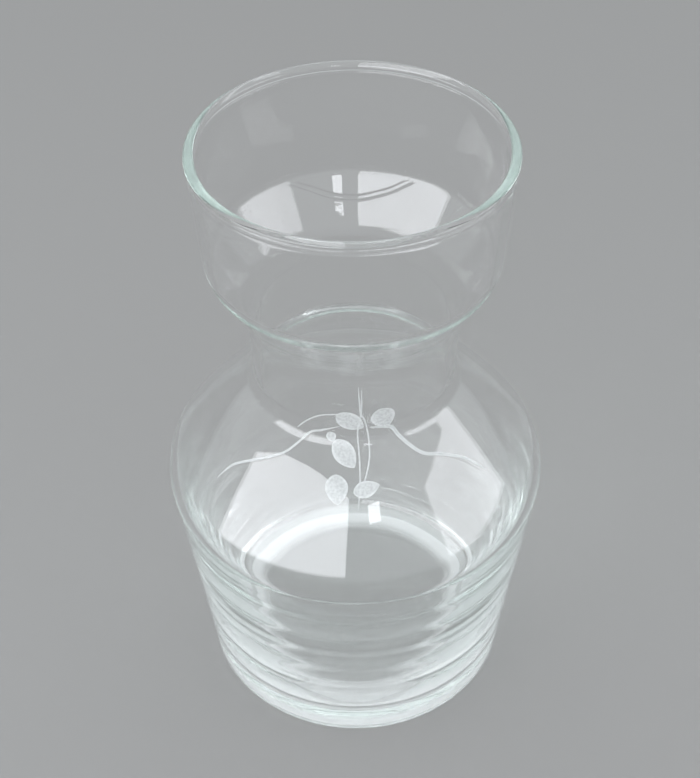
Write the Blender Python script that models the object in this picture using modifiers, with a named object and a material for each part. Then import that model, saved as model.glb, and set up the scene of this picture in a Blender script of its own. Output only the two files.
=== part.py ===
"""Wide-mouth glass carafe: one turned vessel, hollow and open at the top.

It stands on Z = 0 with its axis on the Z axis. Sizes are in millimetres here and in metres in the mesh,
and every point of the outline is (radius, height).
"""
from math import cos, radians, sin, tan

import bpy

MM = 0.001

# Overall sizes, and the wall's thickness above the foot
HEIGHT = 203.0
MOUTH_RADIUS = 45.5
WALL = 2.4

# Mouth: a fire-polished bead on a wall that leans out slightly
BEAD_RADIUS = 1.5
BEAD_FROM, BEAD_TO = 220.0, -40.0
CUP_WALL_TOP = 198.6

# Arcs of the outer surface, each a centre and a radius, that the inner surface follows one wall inside
CUP_CORNER = ((33.8, 169.9), 9.3)
NECK_UPPER = ((56.5, 141.3), 25.0)
NECK_LOWER = ((39.3, 126.0), 8.0)
SHOULDER = ((46.15, 83.0), 14.75)

# Tilt of the wall's outward normal where those arcs meet the straight stretches, in degrees
CUP_WALL_LEAN = 3.6
CUP_UNDERSIDE = 31.6
FLANK_TOP = 44.3
FLANK_FOOT = 36.7
SIDE_LEAN = 5.9
INNER_SIDE_LEAN = 9.8

# How far the flank bulges and the outer side hollows from a straight line
FLANK_BULGE = 0.8
SIDE_BULGE = -0.35

# Base: rounded heel, resting ring, hollow underside, and a thick floor with a rounded corner
HEEL = ((49.83, 2.9), 2.9)
RING_INNER_RADIUS = 45.5
PUNT_RISE = 2.2
FLOOR_CORNER = ((37.0, 16.0), 10.0)
FLOOR_RISE = 0.5

TURN_STEPS = 48
COLLECTION = "glass_carafe"


def arc(centre, radius, start, end, steps):
    """Points on a circle, with angles in degrees turning from +radius towards +height."""
    angles = [radians(start + (end - start) * step / steps) for step in range(steps + 1)]
    return [(centre[0] + radius * cos(angle), centre[1] + radius * sin(angle)) for angle in angles]


def bowed(top, foot, bulge, steps):
    """Points between the ends of a line that bulges at its middle, without the ends."""
    points = []
    for step in range(1, steps):
        along = step / steps
        radius = top[0] + (foot[0] - top[0]) * along + 4.0 * bulge * along * (1.0 - along)
        points.append((radius, top[1] + (foot[1] - top[1]) * along))
    return points


def dome(edge_radius, edge_height, rise, steps):
    """Points of a shallow dome, from its edge in to the axis."""
    reach = [1.0 - step / steps for step in range(steps + 1)]
    return [(edge_radius * part, edge_height + rise * (1.0 - part * part)) for part in reach]


def upper_wall(inset, side_lean):
    """The wall from under the bead down to the widest part, set in from the outer surface."""
    corner = arc(CUP_CORNER[0], CUP_CORNER[1] - inset, -CUP_WALL_LEAN, -CUP_UNDERSIDE, 5)
    top = (corner[0][0] + (CUP_WALL_TOP - corner[0][1]) * tan(radians(CUP_WALL_LEAN)), CUP_WALL_TOP)
    neck = arc(NECK_UPPER[0], NECK_UPPER[1] + inset, 180.0 - CUP_UNDERSIDE, 180.0, 6)
    neck += arc(NECK_LOWER[0], NECK_LOWER[1] + inset, 180.0, 180.0 + FLANK_TOP, 6)
    shoulder = arc(SHOULDER[0], SHOULDER[1] - inset, FLANK_FOOT, -side_lean, 10)
    return [top] + corner + neck + bowed(neck[-1], shoulder[0], FLANK_BULGE, 5) + shoulder


def outer_surface():
    """From under the bead down the outside and across the underside to the axis."""
    wall = upper_wall(0.0, SIDE_LEAN)
    heel = arc(HEEL[0], HEEL[1], -SIDE_LEAN, -90.0, 6)
    side = bowed(wall[-1], heel[0], SIDE_BULGE, 6)
    return wall + side + heel + dome(RING_INNER_RADIUS, 0.0, PUNT_RISE, 5)


def inner_surface():
    """From under the bead down the inside and across the floor to the axis."""
    wall = upper_wall(WALL, INNER_SIDE_LEAN)
    centre, radius = FLOOR_CORNER
    corner = arc(centre, radius, -INNER_SIDE_LEAN, -90.0, 9)
    side = bowed(wall[-1], corner[0], 0.0, 3)
    return wall + side + corner + dome(centre[0], centre[1] - radius, FLOOR_RISE, 4)[1:]


def vessel_outline():
    """The whole section: up the inside, over the bead and down the outside."""
    bead_centre = (MOUTH_RADIUS - BEAD_RADIUS, HEIGHT - BEAD_RADIUS)
    bead = arc(bead_centre, BEAD_RADIUS, BEAD_FROM, BEAD_TO, 8)
    return inner_surface()[::-1] + bead + outer_surface()


def glass_material():
    """Clear glass with a faint cool green tint."""
    material = bpy.data.materials.new("glass")
    material.use_nodes = True
    shader = material.node_tree.nodes["Principled BSDF"]
    shader.inputs["Base Color"].default_value = (0.90, 0.95, 0.93, 1.0)
    shader.inputs["Metallic"].default_value = 0.0
    shader.inputs["Roughness"].default_value = 0.03
    shader.inputs["IOR"].default_value = 1.52
    shader.inputs["Transmission Weight"].default_value = 1.0
    return material


def turned(name, outline, material, collection):
    """An object turned from its outline round the Z axis."""
    mesh = bpy.data.meshes.new(name)
    edges = [(index, index + 1) for index in range(len(outline) - 1)]
    mesh.from_pydata([(radius * MM, 0.0, height * MM) for radius, height in outline], edges, [])
    mesh.materials.append(material)
    item = bpy.data.objects.new(name, mesh)
    collection.objects.link(item)
    screw = item.modifiers.new("turn", "SCREW")
    screw.axis = "Z"
    screw.steps = TURN_STEPS
    screw.render_steps = TURN_STEPS
    screw.use_merge_vertices = True
    screw.merge_threshold = 0.0001
    screw.use_smooth_shade = True
    return item


def main():
    for item in list(bpy.data.objects):
        bpy.data.objects.remove(item)
    collection = bpy.data.collections.new(COLLECTION)
    bpy.context.scene.collection.children.link(collection)
    turned("glass_body", vessel_outline(), glass_material(), collection)


main()
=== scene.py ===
"""Looks for the glass carafe: a finely turned vessel of clear glass with an etched sprig, on a pale floor.

Lengths are in millimetres until MM turns them into metres, except the stage's, which are in metres.
Angles are in degrees. A point of the section is (radius, height).
"""
from math import cos, degrees, hypot, pi, radians, sin, tan

import bmesh
import bpy
from mathutils import Matrix, Vector


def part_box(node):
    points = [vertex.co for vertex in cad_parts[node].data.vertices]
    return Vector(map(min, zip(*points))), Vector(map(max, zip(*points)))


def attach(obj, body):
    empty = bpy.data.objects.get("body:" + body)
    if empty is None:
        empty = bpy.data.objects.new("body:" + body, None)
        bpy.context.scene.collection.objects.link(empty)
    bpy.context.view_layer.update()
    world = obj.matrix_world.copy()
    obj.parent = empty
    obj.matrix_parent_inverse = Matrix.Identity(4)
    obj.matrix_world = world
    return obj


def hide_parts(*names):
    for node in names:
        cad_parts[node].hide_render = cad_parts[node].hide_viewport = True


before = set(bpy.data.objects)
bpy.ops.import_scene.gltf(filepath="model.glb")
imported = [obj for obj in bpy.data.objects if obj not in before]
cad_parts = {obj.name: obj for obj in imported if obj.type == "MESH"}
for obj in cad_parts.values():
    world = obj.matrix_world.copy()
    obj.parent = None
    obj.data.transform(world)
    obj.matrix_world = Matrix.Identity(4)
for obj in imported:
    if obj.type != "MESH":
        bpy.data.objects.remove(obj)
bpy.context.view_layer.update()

MM = 0.001

# Overall sizes, and the wall's thickness above the foot
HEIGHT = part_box("glass_body")[1].z / MM
MOUTH_RADIUS = 45.5
WALL = 2.4

# Mouth: a fire-polished bead on a wall that leans out slightly
BEAD_RADIUS = 1.5
BEAD_FROM, BEAD_TO = 220.0, -40.0
CUP_WALL_TOP = 198.6

# Arcs of the outer surface, each a centre and a radius, that the inner surface follows one wall inside
CUP_CORNER = ((33.8, 169.9), 9.3)
NECK_UPPER = ((56.5, 141.3), 25.0)
NECK_LOWER = ((39.3, 126.0), 8.0)
SHOULDER = ((46.15, 83.0), 14.75)

# Tilt of the wall's outward normal where those arcs meet the straight stretches
CUP_WALL_LEAN = 3.6
CUP_UNDERSIDE = 31.6
FLANK_TOP = 44.3
FLANK_FOOT = 36.7
SIDE_LEAN = 5.9
INNER_SIDE_LEAN = 9.8

# How far the flank bulges and the outer side hollows from a straight line
FLANK_BULGE = 0.8
SIDE_BULGE = -0.35

# Base: rounded heel, resting ring, hollow underside, and a thick floor with a rounded corner
HEEL = ((49.83, 2.9), 2.9)
RING_INNER_RADIUS = 45.5
PUNT_RISE = 2.2
FLOOR_CORNER = ((37.0, 16.0), 10.0)
FLOOR_RISE = 0.5
TURN_STEPS = 192

# Faint ripples left by the mould, round the outer side
RIPPLE_DEPTH = 0.03
RIPPLE_PITCH = 10.0
RIPPLE_CREST = 29.0
RIPPLE_FOOT, RIPPLE_TOP = 20.0, 76.0

# Clear glass: its depth of colour, the light that its shadow lets by, and the waviness of its surface
GLASS_IOR = 1.52
GLASS_DEPTH = (0.80, 0.90, 0.86, 1.0)
GLASS_DENSITY = 6.0
GLASS_SHADOW = (0.94, 0.955, 0.95, 1.0)
WAVE_HEIGHT, WAVES_PER_METRE = 0.06, 55.0

# Frost on the resting ring: strongest inside FROST_INNER, and gone above STANDING_TO
FROST_INNER, FROST_OUTER = 45.7, 46.7
FROST_MOST, FROST_LEAST = 0.55, 0.15
STANDING_FROM, STANDING_TO = 0.3, 0.9
STIPPLE_ROUGHNESS = 0.45
STIPPLE_HEIGHT, STIPPLES_PER_METRE = 0.15, 700.0

# Etched marks: how much of the surface is frosted, how much more at a mark's edge, and the tints
ETCH_LIFT = 0.03
ETCH_THIN, ETCH_DENSE = 0.4, 0.55
ETCH_EDGE, ETCH_EDGE_FROM = 0.15, 0.55
ETCH_ROUGHNESS = 0.55
ETCH_DULL, ETCH_PALE = (0.66, 0.69, 0.69, 1.0), (0.84, 0.86, 0.86, 1.0)
GRAINS_PER_METRE, CLOUDS_PER_METRE = 1400.0, 420.0
GRAIN_FROM, GRAIN_TO = 0.3, 0.7

# Drawing of the marks: lines with narrow tips, and leaves that are blunter than a plain lens shape
LINE_STEPS = 10
LINE_TIP, LINE_TAPER, LINE_MIDDLE = 0.25, 6.0, 0.6
LEAF_ROWS, LEAF_HALF_STEPS = 28, 6
LEAF_SKEW, LEAF_FULLNESS, LEAF_TIP = 0.85, 0.7, 0.02

# Stage, in metres: the floor lies just under the resting ring, so that the two don't coincide
FLOOR_COLOUR = (0.295, 0.29, 0.284, 1.0)
FLOOR_ROUGHNESS = 0.9
FLOOR_SIZE, FLOOR_GAP = 30.0, 0.00015
SKY_COLOUR = (0.93, 0.97, 1.0, 1.0)
SKY_LOW, SKY_HIGH = 0.7, 1.0
SKY_FROM, SKY_TO = 0.0, 0.25
LAMP_DISTANCE, LAMP_AIM = 1.3, 0.1
LAMP_COLOUR = (0.94, 0.96, 1.0)

# Camera, in metres and degrees, but with the lens and sensor in millimetres
CAMERA_DISTANCE, CAMERA_HEIGHT = 0.2987, 0.3935
CAMERA_PITCH, CAMERA_PAN, CAMERA_ROLL = 43.23, 0.194, -0.525
CAMERA_LENS, CAMERA_SENSOR = 60.15, 36.0
CAMERA_NEAREST = 0.01
BOUNCES = 96


# ---------------------------------------------------------------- the vessel

def arc(centre, radius, start, end, steps):
    """Points on a circle, with angles turning from +radius towards +height."""
    angles = [radians(start + (end - start) * step / steps) for step in range(steps + 1)]
    return [(centre[0] + radius * cos(angle), centre[1] + radius * sin(angle)) for angle in angles]


def ripple(height):
    """How far the outer side stands out at a height."""
    if not RIPPLE_FOOT < height < RIPPLE_TOP:
        return 0.0
    fade = sin(pi * (height - RIPPLE_FOOT) / (RIPPLE_TOP - RIPPLE_FOOT)) ** 0.5
    return RIPPLE_DEPTH * fade * cos(2.0 * pi * (height - RIPPLE_CREST) / RIPPLE_PITCH)


def bowed(top, foot, bulge, steps, rippled=False):
    """Points between the ends of a line that bulges at its middle, without the ends."""
    points = []
    for step in range(1, steps):
        along = step / steps
        height = top[1] + (foot[1] - top[1]) * along
        radius = top[0] + (foot[0] - top[0]) * along + 4.0 * bulge * along * (1.0 - along)
        points.append((radius + (ripple(height) if rippled else 0.0), height))
    return points


def dome(edge_radius, edge_height, rise, steps):
    """Points of a shallow dome, from its edge in to the axis."""
    reach = [1.0 - step / steps for step in range(steps + 1)]
    return [(edge_radius * part, edge_height + rise * (1.0 - part * part)) for part in reach]


def upper_wall(inset, side_lean):
    """The wall from under the bead down to the widest part, set in from the outer surface."""
    corner = arc(CUP_CORNER[0], CUP_CORNER[1] - inset, -CUP_WALL_LEAN, -CUP_UNDERSIDE, 14)
    top = (corner[0][0] + (CUP_WALL_TOP - corner[0][1]) * tan(radians(CUP_WALL_LEAN)), CUP_WALL_TOP)
    cup = [top] + bowed(top, corner[0], 0.0, 8) + corner
    neck = arc(NECK_UPPER[0], NECK_UPPER[1] + inset, 180.0 - CUP_UNDERSIDE, 180.0, 16)
    neck += arc(NECK_LOWER[0], NECK_LOWER[1] + inset, 180.0, 180.0 + FLANK_TOP, 14)
    shoulder = arc(SHOULDER[0], SHOULDER[1] - inset, FLANK_FOOT, -side_lean, 24)
    return cup + neck + bowed(neck[-1], shoulder[0], FLANK_BULGE, 14) + shoulder


def heel():
    """The rounded edge from the outer side to the resting ring."""
    return arc(HEEL[0], HEEL[1], -SIDE_LEAN, -90.0, 14)


def outer_wall():
    """From under the bead down the outside, ending above the heel."""
    wall = upper_wall(0.0, SIDE_LEAN)
    return wall + bowed(wall[-1], heel()[0], SIDE_BULGE, 130, rippled=True)


def outer_surface():
    """From under the bead down the outside and across the underside to the axis."""
    return outer_wall() + heel() + dome(RING_INNER_RADIUS, 0.0, PUNT_RISE, 14)


def inner_surface():
    """From under the bead down the inside and across the floor to the axis."""
    wall = upper_wall(WALL, INNER_SIDE_LEAN)
    centre, radius = FLOOR_CORNER
    corner = arc(centre, radius, -INNER_SIDE_LEAN, -90.0, 28)
    side = bowed(wall[-1], corner[0], 0.0, 24)
    return wall + side + corner + dome(centre[0], centre[1] - radius, FLOOR_RISE, 12)[1:]


def vessel_outline():
    """The whole section: up the inside, over the bead and down the outside."""
    bead_centre = (MOUTH_RADIUS - BEAD_RADIUS, HEIGHT - BEAD_RADIUS)
    bead = arc(bead_centre, BEAD_RADIUS, BEAD_FROM, BEAD_TO, 24)
    return inner_surface()[::-1] + bead + outer_surface()


def placed(name, mesh, material):
    """An object in the scene for a mesh, shaded smooth."""
    mesh.shade_smooth()
    mesh.materials.append(material)
    item = bpy.data.objects.new(name, mesh)
    bpy.context.scene.collection.objects.link(item)
    return item


def ring(shape, radius, height):
    """Vertices round the axis, or a single one on it."""
    if radius < 1e-6:
        return [shape.verts.new((0.0, 0.0, height * MM))]
    angles = [2 * pi * step / TURN_STEPS for step in range(TURN_STEPS)]
    return [shape.verts.new((radius * cos(angle) * MM, radius * sin(angle) * MM, height * MM))
            for angle in angles]


def turned(name, outline, material):
    """An object turned from its outline round the Z axis."""
    shape = bmesh.new()
    rings = [ring(shape, radius, height) for radius, height in outline]
    for upper, lower in zip(rings, rings[1:]):
        for step in range(TURN_STEPS):
            following = (step + 1) % TURN_STEPS
            if len(upper) == 1:
                shape.faces.new((upper[0], lower[step], lower[following]))
            elif len(lower) == 1:
                shape.faces.new((upper[step], lower[0], upper[following]))
            else:
                shape.faces.new((upper[step], lower[step], lower[following], upper[following]))
    bmesh.ops.recalc_face_normals(shape, faces=shape.faces)
    mesh = bpy.data.meshes.new(name)
    shape.to_mesh(mesh)
    shape.free()
    return placed(name, mesh, material)


# ---------------------------------------------------------------- materials

def fresh_material(name):
    """A material, its node tree and its shader."""
    material = bpy.data.materials.new(name)
    material.use_nodes = True
    tree = material.node_tree
    return material, tree, tree.nodes["Principled BSDF"]


def node(tree, kind, sockets=None, **settings):
    """A shader node with some of its settings and input sockets filled in."""
    made = tree.nodes.new("ShaderNode" + kind)
    for name, value in settings.items():
        setattr(made, name, value)
    for name, value in (sockets or {}).items():
        made.inputs[name].default_value = value
    return made


def ranged(tree, source, start, stop, low, high):
    """A value that runs smoothly from low to high while source runs from start to stop."""
    ends = {"From Min": start, "From Max": stop, "To Min": low, "To Max": high}
    spread = node(tree, "MapRange", ends, interpolation_type="SMOOTHSTEP")
    tree.links.new(source, spread.inputs["Value"])
    return spread.outputs["Result"]


def noise(tree, per_metre, detail=2.0):
    """Noise with about so many features to a metre, fixed to the piece."""
    place = node(tree, "TexCoord")
    made = node(tree, "TexNoise", {"Scale": per_metre, "Detail": detail})
    tree.links.new(place.outputs["Object"], made.inputs["Vector"])
    return made.outputs["Fac"]


def product(tree, source, factor):
    """Two sockets' values multiplied."""
    made = node(tree, "Math", operation="MULTIPLY")
    tree.links.new(source, made.inputs[0])
    tree.links.new(factor, made.inputs[1])
    return made.outputs["Value"]


def scaled(tree, source, factor):
    """A socket's value times a number."""
    made = node(tree, "Math", {1: factor}, operation="MULTIPLY")
    tree.links.new(source, made.inputs[0])
    return made.outputs["Value"]


def ring_frost(tree):
    """How frosted the surface is: only near the floor, and most at the resting ring's inner edge."""
    place = node(tree, "TexCoord")
    split = node(tree, "SeparateXYZ")
    flat = node(tree, "CombineXYZ")
    reach = node(tree, "VectorMath", operation="LENGTH")
    tree.links.new(place.outputs["Object"], split.inputs["Vector"])
    tree.links.new(split.outputs["X"], flat.inputs["X"])
    tree.links.new(split.outputs["Y"], flat.inputs["Y"])
    tree.links.new(flat.outputs["Vector"], reach.inputs[0])
    standing = ranged(tree, split.outputs["Z"], STANDING_FROM * MM, STANDING_TO * MM, 1.0, 0.0)
    across = ranged(tree, reach.outputs["Value"], FROST_INNER * MM, FROST_OUTER * MM, FROST_MOST, FROST_LEAST)
    return product(tree, across, standing)


def clear_glass():
    """Glass with a faint cool green depth, a slight waviness, and a stippled ring where it stands."""
    material, tree, shader = fresh_material("clear_glass")
    shader.inputs["Base Color"].default_value = (1.0, 1.0, 1.0, 1.0)
    shader.inputs["IOR"].default_value = GLASS_IOR
    frost = ring_frost(tree)
    tree.links.new(scaled(tree, frost, STIPPLE_ROUGHNESS), shader.inputs["Roughness"])
    clear = node(tree, "Math", {0: 1.0}, operation="SUBTRACT")
    tree.links.new(frost, clear.inputs[1])
    tree.links.new(clear.outputs["Value"], shader.inputs["Transmission Weight"])

    wave = node(tree, "Bump", {"Strength": 1.0, "Distance": WAVE_HEIGHT * MM})
    tree.links.new(noise(tree, WAVES_PER_METRE, 1.0), wave.inputs["Height"])
    stipple = node(tree, "Bump", {"Strength": 1.0, "Distance": STIPPLE_HEIGHT * MM})
    tree.links.new(product(tree, noise(tree, STIPPLES_PER_METRE), frost), stipple.inputs["Height"])
    tree.links.new(wave.outputs["Normal"], stipple.inputs["Normal"])
    tree.links.new(stipple.outputs["Normal"], shader.inputs["Normal"])

    depth = node(tree, "VolumeAbsorption", {"Color": GLASS_DEPTH, "Density": GLASS_DENSITY})
    shadow = node(tree, "BsdfTransparent", {"Color": GLASS_SHADOW})
    path = node(tree, "LightPath")
    mix = node(tree, "MixShader")
    output = tree.nodes["Material Output"]
    tree.links.new(path.outputs["Is Shadow Ray"], mix.inputs["Fac"])
    tree.links.new(shader.outputs["BSDF"], mix.inputs[1])
    tree.links.new(shadow.outputs["BSDF"], mix.inputs[2])
    tree.links.new(mix.outputs["Shader"], output.inputs["Surface"])
    tree.links.new(depth.outputs["Volume"], output.inputs["Volume"])
    return material


def etched_glass():
    """A frosted etch, denser along the edges of each mark and mottled like acid-bitten glass."""
    material, tree, shader = fresh_material("etched_glass")
    shader.inputs["Roughness"].default_value = ETCH_ROUGHNESS
    place = node(tree, "TexCoord")
    split = node(tree, "SeparateXYZ")
    tree.links.new(place.outputs["UV"], split.inputs["Vector"])
    edge = ranged(tree, split.outputs["X"], ETCH_EDGE_FROM, 1.0, 0.0, ETCH_EDGE)
    body = ranged(tree, noise(tree, GRAINS_PER_METRE, 3.0), GRAIN_FROM, GRAIN_TO, ETCH_THIN, ETCH_DENSE)
    cover = node(tree, "Math", operation="ADD", use_clamp=True)
    tree.links.new(edge, cover.inputs[0])
    tree.links.new(body, cover.inputs[1])
    tree.links.new(cover.outputs["Value"], shader.inputs["Alpha"])
    tint = node(tree, "MixRGB", {"Color1": ETCH_DULL, "Color2": ETCH_PALE})
    tree.links.new(noise(tree, CLOUDS_PER_METRE), tint.inputs["Fac"])
    tree.links.new(tint.outputs["Color"], shader.inputs["Base Color"])
    return material


def floor_material():
    """A plain matt floor."""
    material, _, shader = fresh_material("floor")
    shader.inputs["Base Color"].default_value = FLOOR_COLOUR
    shader.inputs["Roughness"].default_value = FLOOR_ROUGHNESS
    return material


glass = turned("carafe_glass", vessel_outline(), clear_glass())
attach(glass, "root")
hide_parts("glass_body")

# ---------------------------------------------------------------- the etched sprig
# A mark lies just proud of the outer wall. Its points are (angle round from the front towards +X, height),
# and each height is turned into a run, the distance down the wall from under the bead.

ETCH = etched_glass()
SKIN = outer_wall()
SKIN_RADII = [radius for radius, _ in SKIN]
SKIN_DEPTHS = [-height for _, height in SKIN]
RUNS = [0.0]
for above, below in zip(SKIN, SKIN[1:]):
    RUNS.append(RUNS[-1] + hypot(above[0] - below[0], above[1] - below[1]))


def between(value, keys, values):
    """The value that goes with a place between two rising keys."""
    index = next((spot for spot, key in enumerate(keys) if key >= value), len(keys) - 1)
    index = max(index, 1)
    share = (value - keys[index - 1]) / (keys[index] - keys[index - 1])
    return values[index - 1] + (values[index] - values[index - 1]) * share


def run_at(height):
    return between(-height, SKIN_DEPTHS, RUNS)


def radius_at(run):
    return between(run, RUNS, SKIN_RADII)


def on_skin(angle, run):
    """The point just proud of the glass at an angle and a run, in metres."""
    radius = radius_at(run) + ETCH_LIFT
    depth = between(run, RUNS, SKIN_DEPTHS)
    return (radius * sin(radians(angle)) * MM, -radius * cos(radians(angle)) * MM, -depth * MM)


def etched(name, rows, edges):
    """A mark from rows of (angle, run) places. Its UV runs from 0 inside to 1 along the edge."""
    mesh = bpy.data.meshes.new(name)
    across = len(rows[0])
    corners = [row * across + spot for row in range(len(rows) - 1) for spot in range(across - 1)]
    faces = [(corner, corner + 1, corner + across + 1, corner + across) for corner in corners]
    mesh.from_pydata([on_skin(*place) for row in rows for place in row], [], faces)
    nearness = [value for row in edges for value in row]
    layer = mesh.uv_layers.new(name="etch")
    for loop in mesh.loops:
        layer.data[loop.index].uv = (nearness[loop.vertex_index], 0.5)
    item = placed(name, mesh, ETCH)
    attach(item, "root")


def smooth_path(stations, steps):
    """Points of a Catmull-Rom curve through the stations."""
    ends = [stations[0]] + list(stations) + [stations[-1]]
    path = []
    for index in range(len(stations) - 1):
        before, start, stop, after = ends[index:index + 4]
        for step in range(steps):
            t = step / steps
            path.append(tuple(0.5 * (2 * b + (c - a) * t + (2 * a - 5 * b + 4 * c - d) * t * t
                                     + (3 * b - a - 3 * c + d) * t ** 3)
                              for a, b, c, d in zip(before, start, stop, after)))
    return path + [stations[-1]]


def etched_line(name, stations, widths):
    """A line through (angle, height) stations whose width eases from the first of widths to the second."""
    path = smooth_path([(angle, run_at(height)) for angle, height in stations], LINE_STEPS)
    rows, edges = [], []
    for index, (angle, run) in enumerate(path):
        to_angle = degrees(1.0 / radius_at(run))
        before, after = path[max(index - 1, 0)], path[min(index + 1, len(path) - 1)]
        ahead = Vector(((after[0] - before[0]) / to_angle, after[1] - before[1]))
        side = ahead.normalized().orthogonal()
        share = index / (len(path) - 1)
        half = (widths[0] + (widths[1] - widths[0]) * share) / 2
        half *= min(1.0, LINE_TIP + LINE_TAPER * share, LINE_TIP + LINE_TAPER * (1.0 - share))
        rows.append([(angle + side.x * half * part * to_angle, run + side.y * half * part)
                     for part in (-1, 0, 1)])
        edges.append([1.0, LINE_MIDDLE, 1.0])
    etched(name, rows, edges)


def etched_leaf(name, place, turn, length, width):
    """A leaf at (angle, height) that points turn degrees from straight down towards +X."""
    angle, height = place
    centre = run_at(height)
    ahead, beside = cos(radians(turn)), sin(radians(turn))
    rows, edges = [], []
    for step in range(LEAF_ROWS + 1):
        share = step / LEAF_ROWS
        forward = (share - 0.5) * length
        reach = max(width / 2 * sin(pi * share ** LEAF_SKEW) ** LEAF_FULLNESS, LEAF_TIP)
        offs = [reach * spot / LEAF_HALF_STEPS for spot in range(-LEAF_HALF_STEPS, LEAF_HALF_STEPS + 1)]
        row = []
        for off in offs:
            run = centre + forward * ahead - off * beside
            row.append((angle + degrees((forward * beside + off * ahead) / radius_at(run)), run))
        rows.append(row)
        edges.append([max(abs(off) / reach, abs(2.0 * share - 1.0) ** 4) for off in offs])
    etched(name, rows, edges)


STEM = [(2, 143), (3, 133), (5, 130), (7, 124), (7, 119), (5, 115), (3, 112)]
STEM_TWIN = [(3.5, 142), (3.5, 133), (1.5, 125), (2, 119), (2, 113), (1, 107)]
TENDRIL_LEFT = [(-8, 127), (-18, 124.5), (-25, 122.5), (-33, 117), (-40, 114), (-47, 111), (-54, 107),
                (-57, 102)]
TENDRIL_LEFT_UPPER = [(-8, 132), (-18, 130.5), (-26, 127), (-32, 123)]
TENDRIL_RIGHT = [(8, 126.5), (19, 125.5), (24, 121.5), (32, 116.5), (41, 114), (50, 110), (56, 104)]
etched_line("etched_stem", STEM, (0.5, 0.45))
etched_line("etched_stem_twin", STEM_TWIN, (0.45, 0.4))
etched_line("etched_tendril_left", TENDRIL_LEFT, (0.6, 0.7))
etched_line("etched_tendril_left_upper", TENDRIL_LEFT_UPPER, (0.6, 0.35))
etched_line("etched_tendril_right", TENDRIL_RIGHT, (1.3, 0.8))
etched_leaf("etched_leaf_upper_left", (-2.5, 129.2), turn=55, length=9.4, width=6.6)
etched_leaf("etched_leaf_upper_right", (15.5, 129.6), turn=20, length=8.2, width=7.4)
etched_leaf("etched_leaf_middle", (-5, 119.2), turn=38, length=10.0, width=6.4)
etched_leaf("etched_leaf_lower_left", (-7.5, 111.4), turn=8, length=9.0, width=6.8)
etched_leaf("etched_leaf_lower_right", (4.5, 111.6), turn=105, length=8.0, width=5.0)
etched_leaf("etched_bud", (-12.5, 123.0), turn=20, length=3.2, width=3.0)


# ---------------------------------------------------------------- the stage

def softbox(name, azimuth, elevation, roll, width, height, radiance):
    """A lamp at an azimuth from the camera's side towards +X. It shows in the glass but not to the camera."""
    flat = LAMP_DISTANCE * cos(radians(elevation))
    rise = LAMP_DISTANCE * sin(radians(elevation))
    offset = Vector((flat * sin(radians(azimuth)), -flat * cos(radians(azimuth)), rise))
    turn = offset.to_track_quat("Z", "Y").to_matrix().to_4x4() @ Matrix.Rotation(radians(roll), 4, "Z")
    lamp = bpy.data.lights.new(name, "AREA")
    lamp.shape = "RECTANGLE"
    lamp.size = width
    lamp.size_y = height
    lamp.energy = radiance * width * height * pi
    lamp.color = LAMP_COLOUR
    item = bpy.data.objects.new(name, lamp)
    item.matrix_world = Matrix.Translation(Vector((0.0, 0.0, LAMP_AIM)) + offset) @ turn
    item.visible_camera = False
    bpy.context.scene.collection.objects.link(item)


def studio_sky():
    """Soft light from all round, dimmer towards the horizon."""
    world = bpy.data.worlds.new("studio")
    bpy.context.scene.world = world
    world.use_nodes = True
    tree = world.node_tree
    background = tree.nodes["Background"]
    background.inputs["Color"].default_value = SKY_COLOUR
    place = node(tree, "TexCoord")
    upward = node(tree, "SeparateXYZ")
    tree.links.new(place.outputs["Generated"], upward.inputs["Vector"])
    strength = ranged(tree, upward.outputs["Z"], SKY_FROM, SKY_TO, SKY_LOW, SKY_HIGH)
    tree.links.new(strength, background.inputs["Strength"])


def add_camera():
    """A camera in front of the etched side, looking down at the carafe."""
    camera_data = bpy.data.cameras.new("camera")
    camera_data.lens = CAMERA_LENS
    camera_data.sensor_width = CAMERA_SENSOR
    camera_data.sensor_fit = "AUTO"
    camera_data.clip_start = CAMERA_NEAREST
    camera = bpy.data.objects.new("camera", camera_data)
    bpy.context.scene.collection.objects.link(camera)
    camera.matrix_world = (Matrix.Translation((0.0, -CAMERA_DISTANCE, CAMERA_HEIGHT))
                           @ Matrix.Rotation(radians(90.0 - CAMERA_PITCH), 4, "X")
                           @ Matrix.Rotation(radians(CAMERA_PAN), 4, "Y")
                           @ Matrix.Rotation(radians(CAMERA_ROLL), 4, "Z"))
    bpy.context.scene.camera = camera


bpy.ops.mesh.primitive_plane_add(size=FLOOR_SIZE, location=(0, 0, -FLOOR_GAP))
floor = bpy.context.active_object
floor.name = "floor"
floor.data.materials.append(floor_material())

studio_sky()
softbox("window_left", azimuth=-44, elevation=22, roll=11.6, width=1.85, height=0.54, radiance=3.9)
softbox("window_right", azimuth=76, elevation=17, roll=-12, width=1.15, height=0.36, radiance=2.6)
softbox("window_mid", azimuth=13, elevation=31, roll=0, width=0.16, height=0.08, radiance=5.0)
add_camera()

# Light crosses many surfaces in the rim and base, so its paths are let run long
scene = bpy.context.scene
scene.view_settings.view_transform = "Standard"
scene.cycles.max_bounces = BOUNCES
scene.cycles.transmission_bounces = BOUNCES
scene.cycles.glossy_bounces = BOUNCES
scene.cycles.transparent_max_bounces = BOUNCES
